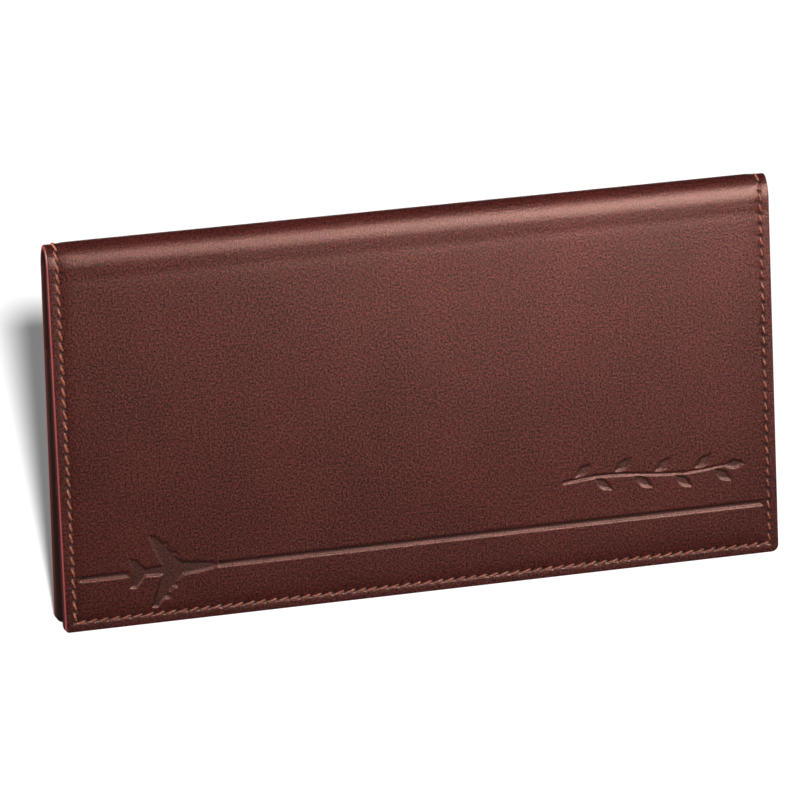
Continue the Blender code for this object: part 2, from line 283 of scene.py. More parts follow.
def pattern_distance(x, s):
    """How far each point lies outside the nearest debossed shape, at most 5 mm."""
    points = np.stack([x.ravel(), COVER_HEIGHT - s.ravel()], axis=1)
    nearest = np.full(len(points), 5 * MM)
    for outline in PATTERN:
        low = np.min(outline, axis=0) - 3 * MM
        high = np.max(outline, axis=0) + 3 * MM
        near = np.all((points > low) & (points < high), axis=1)
        if near.any():
            nearest[near] = np.minimum(nearest[near], distance(points[near], outline))
    return nearest.reshape(x.shape)


# ---------------------------------------------------------------- the seam

SIDE_RUN = COVER_HEIGHT - SEAM_INSET - CROWN
SIDE_COUNT = round(SIDE_RUN / STITCH_PITCH)
BASE_RUN = 2 * (HALF_WIDTH - SEAM_INSET)
BASE_COUNT = round(BASE_RUN / STITCH_PITCH)


def seam_holes():
    """(x, s, seam direction as x and s) of every hole: down the left, along the base, up the right."""
    x_edge = HALF_WIDTH - SEAM_INSET
    s_low = COVER_HEIGHT - SEAM_INSET
    holes = []
    for step in range(SIDE_COUNT):
        holes.append((-x_edge, CROWN + SIDE_RUN * step / SIDE_COUNT, 0, 1))
    for step in range(BASE_COUNT):
        holes.append((-x_edge + BASE_RUN * step / BASE_COUNT, s_low, 1, 0))
    for step in range(SIDE_COUNT + 1):
        holes.append((x_edge, s_low - SIDE_RUN * step / SIDE_COUNT, 0, -1))
    return np.array(holes)


HOLES = seam_holes()


def hole_share(x, s, ring):
    """1 in the middle of a stitch hole and 0 away from it. The holes are slanted slits."""
    share = np.zeros(x.shape)
    near = np.abs(ring - SEAM_INSET) < 1.2 * MM
    if not near.any():
        return share
    px, ps = x[near], s[near]
    best = np.zeros(px.shape)
    for hx, hs, ax, as_ in HOLES:
        close = (np.abs(px - hx) < HOLE_REACH) & (np.abs(ps - hs) < HOLE_REACH)
        if not close.any():
            continue
        along = (px[close] - hx) * ax + (ps[close] - hs) * as_
        across = -(px[close] - hx) * as_ + (ps[close] - hs) * ax + HOLE_SHIFT
        long_way = along * math.cos(HOLE_TURN) + across * math.sin(HOLE_TURN)
        short_way = -along * math.sin(HOLE_TURN) + across * math.cos(HOLE_TURN)
        value = hump(long_way, 0, HOLE_LONG) * hump(short_way, 0, HOLE_SHORT)
        best[close] = np.maximum(best[close], value)
    share[near] = best
    return share


# ---------------------------------------------------------------- flat sheets

def lattice(start, stop, fine_start=True, fine_stop=True, first=None):
    """Positions of the mesh lines from start to stop, PARTS to a cell, crowded at a rounded edge."""
    count = max(1, round((stop - start) / CELL))
    corners = list(np.linspace(start, stop, count + 1))
    if first is not None:
        corners.insert(1, start + first)
    lines = []
    for number in range(len(corners) - 1):
        parts = EVEN_PARTS
        if number == 0 and fine_start:
            parts = EDGE_PARTS
        if number == len(corners) - 2 and fine_stop:
            parts = 1 - EDGE_PARTS[::-1]
        lines.extend(corners[number] + parts[:-1] * (corners[number + 1] - corners[number]))
    lines.append(corners[-1])
    return np.array(lines)


def covering(counts_x, counts_s, marked=()):
    """Polygons that cover the lattice, each cell in counts_x by counts_s parts. Cells of different fineness
    share every corner on their common edge, so that no crack opens. Returns the corners and the polygons."""
    cells_x, cells_s = counts_x.shape
    used = set(marked)
    quads = []
    for i in range(cells_x):
        for j in range(cells_s):
            step_x = PARTS // int(counts_x[i, j])
            step_s = PARTS // int(counts_s[i, j])
            for a in range(i * PARTS, (i + 1) * PARTS, step_x):
                for b in range(j * PARTS, (j + 1) * PARTS, step_s):
                    quads.append((a, b, a + step_x, b + step_s))
                    used.update(((a, b), (a + step_x, b), (a, b + step_s), (a + step_x, b + step_s)))
    polygons = []
    for a, b, c, d in quads:
        polygon = [(a, k) for k in range(b, d) if k == b or (a, k) in used]
        polygon += [(k, d) for k in range(a, c) if k == a or (k, d) in used]
        polygon += [(c, k) for k in range(d, b, -1) if k == d or (c, k) in used]
        polygon += [(k, b) for k in range(c, a, -1) if k == c or (k, b) in used]
        polygons.append(polygon)
    return used, polygons


def rounded(x, s, left, right, low, radii):
    """Moves points of the two lower corner squares onto quarter discs, at the same distance from the edge."""
    x, s = x.copy(), s.copy()
    for edge, sign, radius in ((left, -1, radii[0]), (right, 1, radii[1])):
        if radius <= 0:
            continue
        a = sign * (x - (edge - sign * radius))
        b = s - (low - radius)
        inside = (a > 0) & (b > 0)
        reach = np.maximum(a, b)
        from_side = math.pi / 4 * b / np.maximum(a, 1e-12)
        from_low = math.pi / 2 - math.pi / 4 * a / np.maximum(b, 1e-12)
        angle = np.where(a >= b, from_side, from_low)
        x = np.where(inside, edge - sign * radius + sign * reach * np.cos(angle), x)
        s = np.where(inside, low - radius + reach * np.sin(angle), s)
    return x, s


class Sheet:
    """One leather layer, cut flat, pressed, and laid on the front (side 1) or the back (side -1)."""

    def __init__(self, name, left, right, top, low, side, radii=(0, 0), over_fold=False):
        self.name = name
        self.left, self.right, self.top, self.low = left, right, top, low
        self.side = side
        self.radii = radii
        self.over_fold = over_fold
        self.lines_x = lattice(left, right)
        if over_fold:
            bend = lattice(top, 0, False, False, first=CROWN_STRIP)
            cover = lattice(0, low, False, True)
            self.lines_s = np.concatenate([bend[:-1], cover])
        else:
            self.lines_s = lattice(top, low)
        self.notch = None

    def ring(self, x, s):
        """Distance from the nearest cut edge."""
        ring = np.minimum(np.minimum(x - self.left, self.right - x), self.low - s)
        return ring if self.over_fold else np.minimum(ring, s - self.top)

    def cells(self):
        """x and s of the middle of each cell."""
        x = (self.lines_x[:-1:PARTS] + self.lines_x[PARTS::PARTS]) / 2
        s = (self.lines_s[:-1:PARTS] + self.lines_s[PARTS::PARTS]) / 2
        return np.meshgrid(x, s, indexing="ij")

    def build(self, fineness, face, back, materials):
        """fineness, face and back are functions of x, s and ring. The cut edge goes to slot 1."""
        cell_x, cell_s = self.cells()
        counts_x, counts_s = fineness(cell_x, cell_s, self.ring(cell_x, cell_s))
        used, front_polygons = covering(counts_x, counts_s)
        last_x, last_s = len(self.lines_x) - 1, len(self.lines_s) - 1
        chain = [(0, k) for k in range(last_s) if (0, k) in used]
        chain += [(k, last_s) for k in range(last_x) if (k, last_s) in used]
        chain += [(last_x, k) for k in range(last_s, 0, -1) if (last_x, k) in used]
        chain += [(k, 0) for k in range(last_x, 0, -1) if (k, 0) in used]
        coarse_x = np.where(counts_x >= 4, 2, 1)
        coarse_s = np.where(counts_s >= 4, 2, 1)
        if self.over_fold:
            coarse_s = np.where(cell_s < 2 * MM, 4, coarse_s)
        back_used, back_polygons = covering(coarse_x, coarse_s, chain)
        vertices = []
        places = []
        for corners in (sorted(used), sorted(back_used)):
            places.append({corner: len(vertices) + number for number, corner in enumerate(corners)})
            vertices.extend(corners)
        lattice_index = np.array(vertices)
        x = self.lines_x[lattice_index[:, 0]]
        s = self.lines_s[lattice_index[:, 1]]
        ring = self.ring(x, s)
        is_face = np.arange(len(vertices)) < len(used)
        depth, pressed = face(x, s, ring)
        depth = np.where(is_face, depth, back(x, s, ring))
        pressed = np.where(is_face, pressed, 0)
        if self.notch:
            s = self.notch(x, s)
        x, s = rounded(x, s, self.left, self.right, self.low, self.radii)
        points = laid(x, s, depth, self.side)
        polygons = [[places[0][corner] for corner in polygon] for polygon in front_polygons]
        edge_from = len(polygons)
        for first, second in zip(chain, chain[1:] + chain[:1]):
            polygons.append([places[0][second], places[0][first], places[1][first], places[1][second]])
        back_from = len(polygons)
        polygons += [[places[1][corner] for corner in reversed(polygon)] for polygon in back_polygons]
        if self.side < 0:
            polygons = [polygon[::-1] for polygon in polygons]
        mesh = bpy.data.meshes.new(self.name)
        mesh.from_pydata([tuple(p) for p in points], [], polygons)
        mesh.materials.append(materials[0])
        mesh.materials.append(materials[1])
        slots = np.zeros(len(polygons), int)
        slots[edge_from:back_from] = 1
        face_ring = np.array([ring[polygon].mean() for polygon in polygons[:edge_from]])
        slots[:edge_from][face_ring < 0.2 * MM] = 1
        mesh.polygons.foreach_set("material_index", slots)
        mesh.polygons.foreach_set("use_smooth", np.ones(len(polygons), bool))
        uv = mesh.uv_layers.new(name="hide")
        loops = np.zeros(len(mesh.loops), np.int32)
        mesh.loops.foreach_get("vertex_index", loops)
        flat = np.stack([x[loops] + (0.5 if self.side < 0 else 0), -s[loops]], axis=1)
        uv.data.foreach_set("uv", flat.astype(np.float32).ravel())
        # per point share of darkening: pressed leather, plus painted shade in needle holes and on the
        # pattern's down-facing walls
        attribute = mesh.attributes.new("pressed", "FLOAT", "POINT")
        attribute.data.foreach_set("value", pressed.astype(np.float32))
        mesh.update()
        mesh.set_sharp_from_angle(angle=math.radians(60))
        return linked(self.name, mesh)


def round_over(ring, radius):
    """How deep a cut edge of that radius lies below the face."""
    inside = np.clip(radius - ring, 0, radius)
    return radius - np.sqrt(np.maximum(radius * radius - inside * inside, 0))


# ---------------------------------------------------------------- materials

def linear(code):
    """sRGB hex to linear RGBA."""
    channels = [int(code[i : i + 2], 16) / 255 for i in (0, 2, 4)]
    return tuple(c / 12.92 if c <= 0.04045 else ((c + 0.055) / 1.055) ** 2.4 for c in channels) + (1.0,)


def node(tree, kind, settings=None, inputs=None):
    """Adds a node. settings are its properties; inputs are values, or (node, output) pairs to link."""
    new = tree.nodes.new(kind)
    for key, value in (settings or {}).items():
        setattr(new, key, value)
    for key, value in (inputs or {}).items():
        if isinstance(value, tuple) and isinstance(value[0], bpy.types.Node):
            tree.links.new(value[0].outputs[value[1]], new.inputs[key])
        else:
            new.inputs[key].default_value = value
    return new


def start_material(name):
    material = bpy.data.materials.new(name)
    material.use_nodes = True
    tree = material.node_tree
    tree.nodes.clear()
    return material, tree


def end_material(tree, surface):
    """A Principled surface with these values as the material's output."""
    shader = node(tree, "ShaderNodeBsdfPrincipled", {}, surface)
    output = tree.nodes.new("ShaderNodeOutputMaterial")
    tree.links.new(shader.outputs[0], output.inputs["Surface"])


def end_with_bump(tree, color, height, strength, depth, surface):
    """The same with a color and a bump of that depth from the height."""
    bump = node(tree, "ShaderNodeBump", {}, {"Height": height, "Strength": strength, "Distance": depth})
    end_material(tree, {"Base Color": color, "Normal": (bump, "Normal"), **surface})


def noise(tree, vector, size, detail, roughness=0.5):
    values = {"Vector": vector, "Scale": 1 / size, "Detail": detail, "Roughness": roughness}
    return node(tree, "ShaderNodeTexNoise", {}, values)


def blend_colors(tree, share, first, second):
    """Color at output 2: the first at share 0 and the second at share 1."""
    return node(tree, "ShaderNodeMix", {"data_type": "RGBA"}, {"Factor": share, 6: first, 7: second})


def dyed_calf(name, dark, light, pressed_and_shade_tone, roughness, bump_depth):
    """Smooth drum-dyed calf leather, lightly glazed. The dye takes unevenly from pore to pore, so the tone is
    mottled at about 0.6 mm and clouds over some 30 mm. The grain is a low pebble of about 0.6 mm, and where a
    hot die or the thread presses it flat the dye turns darker. Needle holes and the pattern's walls that face
    down get painted shade from the same dark tone, near black, and are dull."""
    material, tree = start_material(name)
    uv = node(tree, "ShaderNodeUVMap", {"uv_map": "hide"})
    mottle = noise(tree, (uv, "UV"), 0.62 * MM, 2.0, 0.7)
    cloud = noise(tree, (uv, "UV"), 34 * MM, 2.0)
    both_inputs = {0: (cloud, "Fac"), 1: 0.12, 2: (mottle, "Fac")}
    both = node(tree, "ShaderNodeMath", {"operation": "MULTIPLY_ADD"}, both_inputs)
    ramp = node(tree, "ShaderNodeMapRange", {}, {"Value": (both, 0), "From Min": 0.43, "From Max": 0.73})
    tone = blend_colors(tree, (ramp, "Result"), linear(dark), linear(light))
    # this attribute blends the colour towards the dark tone: pressed leather, plus painted shade in needle
    # holes and on the pattern's down-facing walls
    pressed = node(tree, "ShaderNodeAttribute", {"attribute_name": "pressed"})
    color = blend_colors(tree, (pressed, "Fac"), (tone, 2), linear(pressed_and_shade_tone))
    pebble_inputs = {"Vector": (uv, "UV"), "Scale": 1 / (0.6 * MM), "Smoothness": 0.6}
    pebble = node(tree, "ShaderNodeTexVoronoi", {"feature": "SMOOTH_F1"}, pebble_inputs)
    pores = noise(tree, (uv, "UV"), 0.5 * MM, 2.0, 0.6)
    height_inputs = {0: (pebble, "Distance"), 1: 0.45, 2: (pores, "Fac")}
    height = node(tree, "ShaderNodeMath", {"operation": "MULTIPLY_ADD"}, height_inputs)
    glaze_inputs = {"Value": (mottle, "Fac"), "From Min": 0.3, "From Max": 0.7}
    glaze_inputs.update({"To Min": roughness - 0.05, "To Max": roughness + 0.06})
    glaze = node(tree, "ShaderNodeMapRange", {}, glaze_inputs)
    torn_inputs = {"Value": (pressed, "Fac"), "From Min": 0.3, "From Max": 0.7, "To Max": 0.4}
    torn = node(tree, "ShaderNodeMapRange", {}, torn_inputs)
    rough = node(tree, "ShaderNodeMath", {"operation": "ADD"}, {0: (glaze, "Result"), 1: (torn, "Result")})
    surface = {"Roughness": (rough, 0), "IOR": 1.5, "Specular IOR Level": 0.6}
    surface["Specular Tint"] = linear("FFCEBE")
    end_with_bump(tree, (color, 2), (height, 0), 1.0, bump_depth, surface)
    return material


def burnished_edge(name, dark, light):
    """The cut edge of the leather, dyed and rubbed smooth. Fibres still show as fine streaks along it."""
    material, tree = start_material(name)
    place = node(tree, "ShaderNodeTexCoord")
    fibres = noise(tree, (place, "Object"), 0.5 * MM, 4.0, 0.7)
    tone = blend_colors(tree, (fibres, "Fac"), linear(dark), linear(light))
    end_with_bump(tree, (tone, 2), (fibres, "Fac"), 0.7, 0.06 * MM, {"Roughness": 0.34, "IOR": 1.5})
    return material


def bonded_thread(name, dark, light):
    """Bonded polyester thread: tight plies with a faint wax shine, its tone varying at random between a
    darker and a lighter shade.
    """
    material, tree = start_material(name)
    place = node(tree, "ShaderNodeTexCoord")
    plies = noise(tree, (place, "Object"), 0.45 * MM, 3.0)
    spread_inputs = {"Value": (plies, "Fac"), "From Min": 0.35, "From Max": 0.65}
    spread = node(tree, "ShaderNodeMapRange", {}, spread_inputs)
    tone = blend_colors(tree, (spread, "Result"), linear(dark), linear(light))
    surface = {"Roughness": 0.5, "IOR": 1.48, "Sheen Weight": 0.15}
    end_with_bump(tree, (tone, 2), (plies, "Fac"), 0.6, 0.08 * MM, surface)
    return material


def fibre_board(name):
    """Bonded leather-fibre board, pressed in flakes of about a millimetre, with a dull matt face."""
    material, tree = start_material(name)
    place = node(tree, "ShaderNodeTexCoord")
    flakes = node(tree, "ShaderNodeTexVoronoi", {}, {"Vector": (place, "Object"), "Scale": 1 / (1.1 * MM)})
    tone = blend_colors(tree, (flakes, "Distance"), linear("8A7355"), linear("A58D6B"))
    end_with_bump(tree, (tone, 2), (flakes, "Distance"), 0.4, 0.05 * MM, {"Roughness": 0.85})
    return material


# the third colour, 0D0303, is the darkening tone: for pressed leather, and painted shade in needle holes and
# on down-facing walls
CALF = dyed_calf("dyed_calf_leather", "1F0706", "95413A", "0D0303", 0.33, 0.07 * MM)
EDGE = burnished_edge("burnished_calf_edge", "7C2429", "C05A5A")
SPLIT = dyed_calf("dyed_split_lining", "31120E", "421C17", "210A07", 0.62, 0.06 * MM)
SPLIT_EDGE = burnished_edge("cut_split_edge", "32100E", "50201D")
THREAD = bonded_thread("bonded_polyester_thread", "AC4226", "F0946F")
BOARD = fibre_board("bonded_fibre_board")

# ---------------------------------------------------------------- outer hide


def seam_relief(x, s, ring):
    """Depth pressed in along the seam: a wide dip towards the edge, a valley under the thread, the holes."""
    dip = EDGE_DIP * (1 - smooth(2.4 * MM, 6.5 * MM, ring))
    swell = EDGE_SWELL * hump(ring, 1.3 * MM, 0.7 * MM)
    valley = hump(ring, SEAM_INSET, 0.42 * MM)
    holes = hole_share(x, s, ring)
    depth = dip - swell + THREAD_VALLEY * valley + HOLE_DEPTH * holes
    # the second value darkens the colour: pressed leather in the valley under the thread, and painted shade
    # in the needle holes
    return depth, np.clip(0.25 * valley + holes, 0, 1)


def waves(x, s, ring):
    """The panel isn't dead flat: away from the edge it swells by a tenth of a millimetre over some 60 mm."""
    swing = np.sin(x / (19 * MM) + 0.7) * np.sin(s / (15 * MM) + 0.4)
    return PANEL_WAVE * swing * smooth(4 * MM, 12 * MM, ring)


def fold_dip(s):
    """The hide sinks a little between the fold and the upper edge of the board."""
    return FOLD_DIP * hump(s, 3.2 * MM, 1.8 * MM)


def back_face(x, s, ring):
    """Depth and the share of pressed darkening and painted hole shade of the plain hide."""
    seam, pressed = seam_relief(x, s, ring)
    return seam + fold_dip(s) + waves(x, s, ring) + round_over(ring, HIDE_ROUND), pressed


def front_face(x, s, ring):
    """The same with the debossed pattern, whose recess the hot die darkens. Its walls that face down get
    painted shade, near black.
    """
    depth, pressed = back_face(x, s, ring)
    outside = pattern_distance(x, s)
    inside = 1 - smooth(-DEBOSS_WALL / 2, DEBOSS_WALL / 2, outside)
    # painted shade: the pattern's walls that face down are darkened towards the near-black tone
    facing_down = np.clip((outside - pattern_distance(x, s + DOWN_WALL_STEP)) / DOWN_WALL_STEP, 0, 1)
    down_wall_shade = facing_down * hump(outside, -0.1 * MM, 0.4 * MM)
    return depth + DEBOSS_DEPTH * inside, np.clip(pressed + 0.4 * inside + 0.6 * down_wall_shade, 0, 1)


def seam_fineness(x, s, ring):
    """Parts of each cell: fine across the rounded edge, finest under the seam, coarse in the middle."""
    counts_x = np.ones(x.shape, int)
    counts_s = np.ones(x.shape, int)
    counts_x[ring < 6 * MM] = 2
    counts_s[ring < 6 * MM] = 2
    at_side = HALF_WIDTH - np.abs(x) < CELL
    at_low = COVER_HEIGHT - s < CELL
    counts_x[at_side] = 8
    counts_s[at_side] = 4
    counts_s[at_low] = 8
    counts_x[at_low & ~at_side] = 4
    band = (ring > CELL) & (ring < 2 * CELL)
    counts_x[band] = 8
    counts_s[band] = 8
    bend = s < 6 * MM
    counts_s[bend] = np.maximum(counts_s[bend], 4)
    counts_s[s < CROWN + CROWN_STRIP] = 1
    return counts_x, counts_s


def front_fineness(x, s, ring):
    counts_x, counts_s = seam_fineness(x, s, ring)
    near = pattern_distance(x, s) < 1.95 * MM
    height = COVER_HEIGHT - s
    on_line = near & (np.abs(height - LINE_HEIGHT) < 1.9 * MM)
    line_ends = np.abs(np.abs(x) - (HALF_WIDTH - LINE_INSET)) < 1.6 * MM
    plane = (x > TAIL_X - 2 * MM) & (x < TAIL_X + 29 * MM)
    fine = near & (~on_line | plane | line_ends)
    counts_s[near] = 8
    counts_x[fine] = 8
    return counts_x, counts_s


def hide_back(x, s, ring):
    return HIDE_BACK + 0 * x


front_sheet = Sheet("front_outer_hide", -HALF_WIDTH, HALF_WIDTH, CROWN, COVER_HEIGHT, 1, FRONT_RADII, True)
front_hide = front_sheet.build(front_fineness, front_face, hide_back, (CALF, EDGE))
back_sheet = Sheet("back_outer_hide", -HALF_WIDTH, HALF_WIDTH, CROWN, COVER_HEIGHT, -1, BACK_RADII, True)
back_hide = back_sheet.build(seam_fineness, back_face, hide_back, (CALF, EDGE))

# ---------------------------------------------------------------- lining, pockets and slots


def edge_hold(ring):
    """1 where the seam presses the layers together and 0 in the middle of the panel."""
    return 1 - smooth(3.6 * MM, 5.6 * MM, ring)


def on_cover(s):
    """0 where the lining lies against the fold's hide and 1 where it lies on the board."""
    return smooth(-3 * MM, 4 * MM, s)


def lining_face(x, s, ring):
    free = mix(FOLD_LINING_FACE, LINING_FACE, on_cover(s))
    return mix(free, HIDE_BACK + CONTACT, edge_hold(ring)), 0 * x


def lining_back(x, s, ring):
    return mix(FOLD_LINING_BACK, LINING_BACK, on_cover(s)) - round_over(ring, LINING_ROUND)


def thin_fineness(x, s, ring):
    """Inner sheets are flat but for their edges and, over the fold, their bend."""
    counts_x = np.where(ring < 3 * CELL, 2, 1)
    counts_s = np.where(ring < 3 * CELL, 2, 1)
    counts_x = np.where(ring < CELL, 8, counts_x)
    counts_s = np.where(ring < CELL, 8, counts_s)
    counts_s = np.where((s < 2 * MM) & (ring > CELL), 4, counts_s)
    return counts_x, counts_s


def make_lining(name, side):
    radii = FRONT_RADII if side > 0 else BACK_RADII
    sheet = Sheet(name, -HALF_WIDTH, HALF_WIDTH, CROWN, COVER_HEIGHT, side, radii, True)
    return sheet.build(thin_fineness, lining_face, lining_back, (SPLIT, SPLIT_EDGE))


def pocket_face(x, s, ring):
    low_ring = np.minimum(np.minimum(x + HALF_WIDTH, HALF_WIDTH - x), COVER_HEIGHT - s)
    return mix(POCKET_FACE, LINING_BACK + CONTACT, edge_hold(low_ring)) + 0 * x, 0 * x


def crease(below_top):
    """The line that a hot crease iron draws under a pocket's upper edge."""
    return CREASE_DEPTH * hump(below_top, CREASE_INSET, 0.25 * MM)


def make_pocket(name, left, right, top, side, radii, notch=None):
    sheet = Sheet(name, left, right, top, COVER_HEIGHT, side, radii)
    sheet.notch = notch

    def back(x, s, ring):
        return POCKET_BACK - round_over(ring, LINING_ROUND) - crease(s - top)

    def fineness(x, s, ring):
        counts_x, counts_s = thin_fineness(x, s, ring)
        counts_s = np.where(s - top < 2 * CELL, 8, counts_s)
        if notch:
            near = (np.abs(x - THUMB_X) < 12 * MM) & (s - top < 22 * MM)
            counts_x = np.where(near, 4, counts_x)
            counts_s = np.where(near, np.maximum(counts_s, 4), counts_s)
        return counts_x, counts_s

    return sheet.build(fineness, pocket_face, back, (SPLIT, SPLIT_EDGE))


def thumb_cut(x, s):
    """Shears the sheet's upper edge down into the half-round thumb cut and lets that die out below it."""
    drop = np.sqrt(np.maximum(THUMB_RADIUS**2 - (x - THUMB_X) ** 2, 0))
    return s + drop * (1 - smooth(0, 24 * MM, s - PASSPORT_TOP))


ROW_NAMES = ("upper", "middle", "lower")


def make_slot(column, row):
    """A card slot strip: its upper edge stands proud, its lower edge is tucked under the next strip."""
    left, right = (-HALF_WIDTH, -COLUMN_GAP / 2) if column == "left" else (COLUMN_GAP / 2, HALF_WIDTH)
    top = SLOT_TOP + row * SLOT_STEP
    last = row == 2
    low = COVER_HEIGHT - 0.2 * MM if last else top + SLOT_STEP + SLOT_OVERLAP
    radii = (0, 0)
    if last:
        radii = (FRONT_RADII[0], 0) if column == "left" else (0, FRONT_RADII[1])
    name = f"card_strip_{column}_{ROW_NAMES[row]}"
    sheet = Sheet(name, left, right, top, low, 1, radii)

    def lean(x, s):
        free = SLOT_FACE + SLOT_RISE * (1 - (s - top) / (low - top))
        outer = np.minimum(np.minimum(x + HALF_WIDTH, HALF_WIDTH - x), COVER_HEIGHT - s)
        return mix(free, POCKET_BACK + CONTACT + (free - SLOT_FACE), edge_hold(outer) * SLOT_HOLD)

    def face(x, s, ring):
        return lean(x, s), 0 * x

    def back(x, s, ring):
        return lean(x, s) + SLOT_STRIP - round_over(ring, SLOT_ROUND) - crease(s - top)

    def fineness(x, s, ring):
        counts_x, counts_s = thin_fineness(x, s, ring)
        return counts_x, np.where(s - top < 2 * CELL, 8, counts_s)

    return sheet.build(fineness, face, back, (SPLIT, SPLIT_EDGE))


front_lining = make_lining("front_lining_sheet", 1)
back_lining = make_lining("back_lining_sheet", -1)
ticket_pocket = make_pocket("ticket_pocket_sheet", -HALF_WIDTH, HALF_WIDTH, TICKET_TOP, 1, FRONT_RADII)
passport_radii = (BACK_RADII[0], 0)
passport_pocket = make_pocket(
    "passport_pocket_sheet", -HALF_WIDTH, PASSPORT_RIGHT, PASSPORT_TOP, -1, passport_radii, thumb_cut
)
note_pocket = make_pocket("note_pocket_sheet", NOTE_LEFT, HALF_WIDTH, NOTE_TOP, -1, (0, BACK_RADII[1]))
slots = {(column, row): make_slot(column, row) for column in ("left", "right") for row in range(3)}

# ---------------------------------------------------------------- stitches


def stitch_tree():
    """One arched thread per point, laid along the point's own direction and slanted across the seam."""
    tree = bpy.data.node_groups.new("stitches_along_a_seam", "GeometryNodeTree")
    tree.interface.new_socket("Geometry", in_out="OUTPUT", socket_type="NodeSocketGeometry")
    tree.interface.new_socket("Geometry", in_out="INPUT", socket_type="NodeSocketGeometry")
    for label in ("Length", "Width", "Rise", "Sink", "Slant"):
        tree.interface.new_socket(label, in_out="INPUT", socket_type="NodeSocketFloat")
    tree.interface.new_socket("Thread", in_out="INPUT", socket_type="NodeSocketMaterial")
    group = tree.nodes.new("NodeGroupInput")
    half = node(tree, "ShaderNodeMath", {"operation": "MULTIPLY"}, {0: (group, "Length"), 1: 0.5})
    back = node(tree, "ShaderNodeMath", {"operation": "MULTIPLY"}, {0: (group, "Length"), 1: -0.5})
    down = node(tree, "ShaderNodeMath", {"operation": "MULTIPLY"}, {0: (group, "Sink"), 1: -1.0})
    top_inputs = {0: (group, "Rise"), 1: 2.0, 2: (group, "Sink")}
    top = node(tree, "ShaderNodeMath", {"operation": "MULTIPLY_ADD"}, top_inputs)
    first = node(tree, "ShaderNodeCombineXYZ", {}, {"X": (back, 0), "Z": (down, 0)})
    middle = node(tree, "ShaderNodeCombineXYZ", {}, {"Z": (top, 0)})
    final = node(tree, "ShaderNodeCombineXYZ", {}, {"X": (half, 0), "Z": (down, 0)})
    curve_inputs = {"Resolution": 7, "Start": (first, 0), "Middle": (middle, 0), "End": (final, 0)}
    curve = node(tree, "GeometryNodeCurveQuadraticBezier", {}, curve_inputs)
    radius = node(tree, "ShaderNodeMath", {"operation": "MULTIPLY"}, {0: (group, "Width"), 1: 0.5})
    profile = node(tree, "GeometryNodeCurvePrimitiveCircle", {}, {"Resolution": 7, "Radius": (radius, 0)})
    tube_inputs = {"Curve": (curve, 0), "Profile Curve": (profile, 0), "Fill Caps": True}
    tube = node(tree, "GeometryNodeCurveToMesh", {}, tube_inputs)
    points = node(tree, "GeometryNodeMeshToPoints", {}, {"Mesh": (group, "Geometry")})
    vector = {"data_type": "FLOAT_VECTOR"}
    along = node(tree, "GeometryNodeInputNamedAttribute", vector, {"Name": "along"})
    outward = node(tree, "GeometryNodeInputNamedAttribute", vector, {"Name": "outward"})
    axes_inputs = {"Primary Axis": (outward, "Attribute"), "Secondary Axis": (along, "Attribute")}
    axes = node(tree, "FunctionNodeAxesToRotation", {"primary_axis": "Z", "secondary_axis": "X"}, axes_inputs)
    wobble = node(tree, "FunctionNodeRandomValue", {"data_type": "FLOAT"}, {2: -0.05, 3: 0.05, "Seed": 7})
    angle = node(tree, "ShaderNodeMath", {"operation": "ADD"}, {0: (group, "Slant"), 1: (wobble, 1)})
    turn = node(tree, "ShaderNodeCombineXYZ", {}, {"Z": (angle, 0)})
    turn_inputs = {"Rotation": (axes, 0), "Rotate By": (turn, 0)}
    rotation = node(tree, "FunctionNodeRotateRotation", {"rotation_space": "LOCAL"}, turn_inputs)
    placed_inputs = {"Points": (points, 0), "Instance": (tube, 0), "Rotation": (rotation, 0)}
    placed = node(tree, "GeometryNodeInstanceOnPoints", {}, placed_inputs)
    real = node(tree, "GeometryNodeRealizeInstances", {}, {"Geometry": (placed, 0)})
    dyed = node(tree, "GeometryNodeSetMaterial", {}, {"Geometry": (real, 0), "Material": (group, "Thread")})
    output = tree.nodes.new("NodeGroupOutput")
    tree.links.new(dyed.outputs[0], output.inputs[0])
    return tree


STITCHES = stitch_tree()


def sew(name, rows):
    """rows are (place, direction along the seam, direction out of the leather) of each stitch."""
    rows = np.array(rows)
    mesh = bpy.data.meshes.new(name + "_places")
    mesh.from_pydata([tuple(row) for row in rows[:, 0]], [], [])
    for label, column in (("along", 1), ("outward", 2)):
        attribute = mesh.attributes.new(label, "FLOAT_VECTOR", "POINT")
        attribute.data.foreach_set("vector", rows[:, column].astype(np.float32).ravel())
    carrier = linked(name + "_carrier", mesh)
    modifier = carrier.modifiers.new("sewing", "NODES")
    modifier.node_group = STITCHES
    values = {"Length": STITCH_LENGTH, "Width": THREAD_WIDTH, "Rise": STITCH_RISE, "Sink": STITCH_SINK}
    values.update({"Slant": STITCH_SLANT, "Thread": THREAD})
    for item in STITCHES.interface.items_tree:
        if item.in_out == "INPUT" and item.name in values:
            modifier[item.identifier] = values[item.name]
    graph = bpy.context.evaluated_depsgraph_get()
    final = bpy.data.meshes.new_from_object(carrier.evaluated_get(graph), depsgraph=graph)
    bpy.data.objects.remove(carrier)
    bpy.data.meshes.remove(mesh)
    final.name = name
    work = bmesh.new()
    work.from_mesh(final)
    bmesh.ops.recalc_face_normals(work, faces=work.faces)
    for face in work.faces:
        face.smooth = True
    work.to_mesh(final)
    work.free()
    return linked(name, final)


def frame_at(x, s, depth, along_x, along_s, side, inner):
    """Place, seam direction and outward direction at one point of the flat sheet."""
    step = 0.2 * MM
    here = laid(x, s, depth, side)
    ahead = laid(x + along_x * step, s + along_s * step, depth, side)
    deeper = laid(x, s, depth + step, side)
    along = (ahead - here) / np.linalg.norm(ahead - here)
    outward = (here - deeper) / np.linalg.norm(here - deeper)
    return [here, along, -outward if inner else outward]


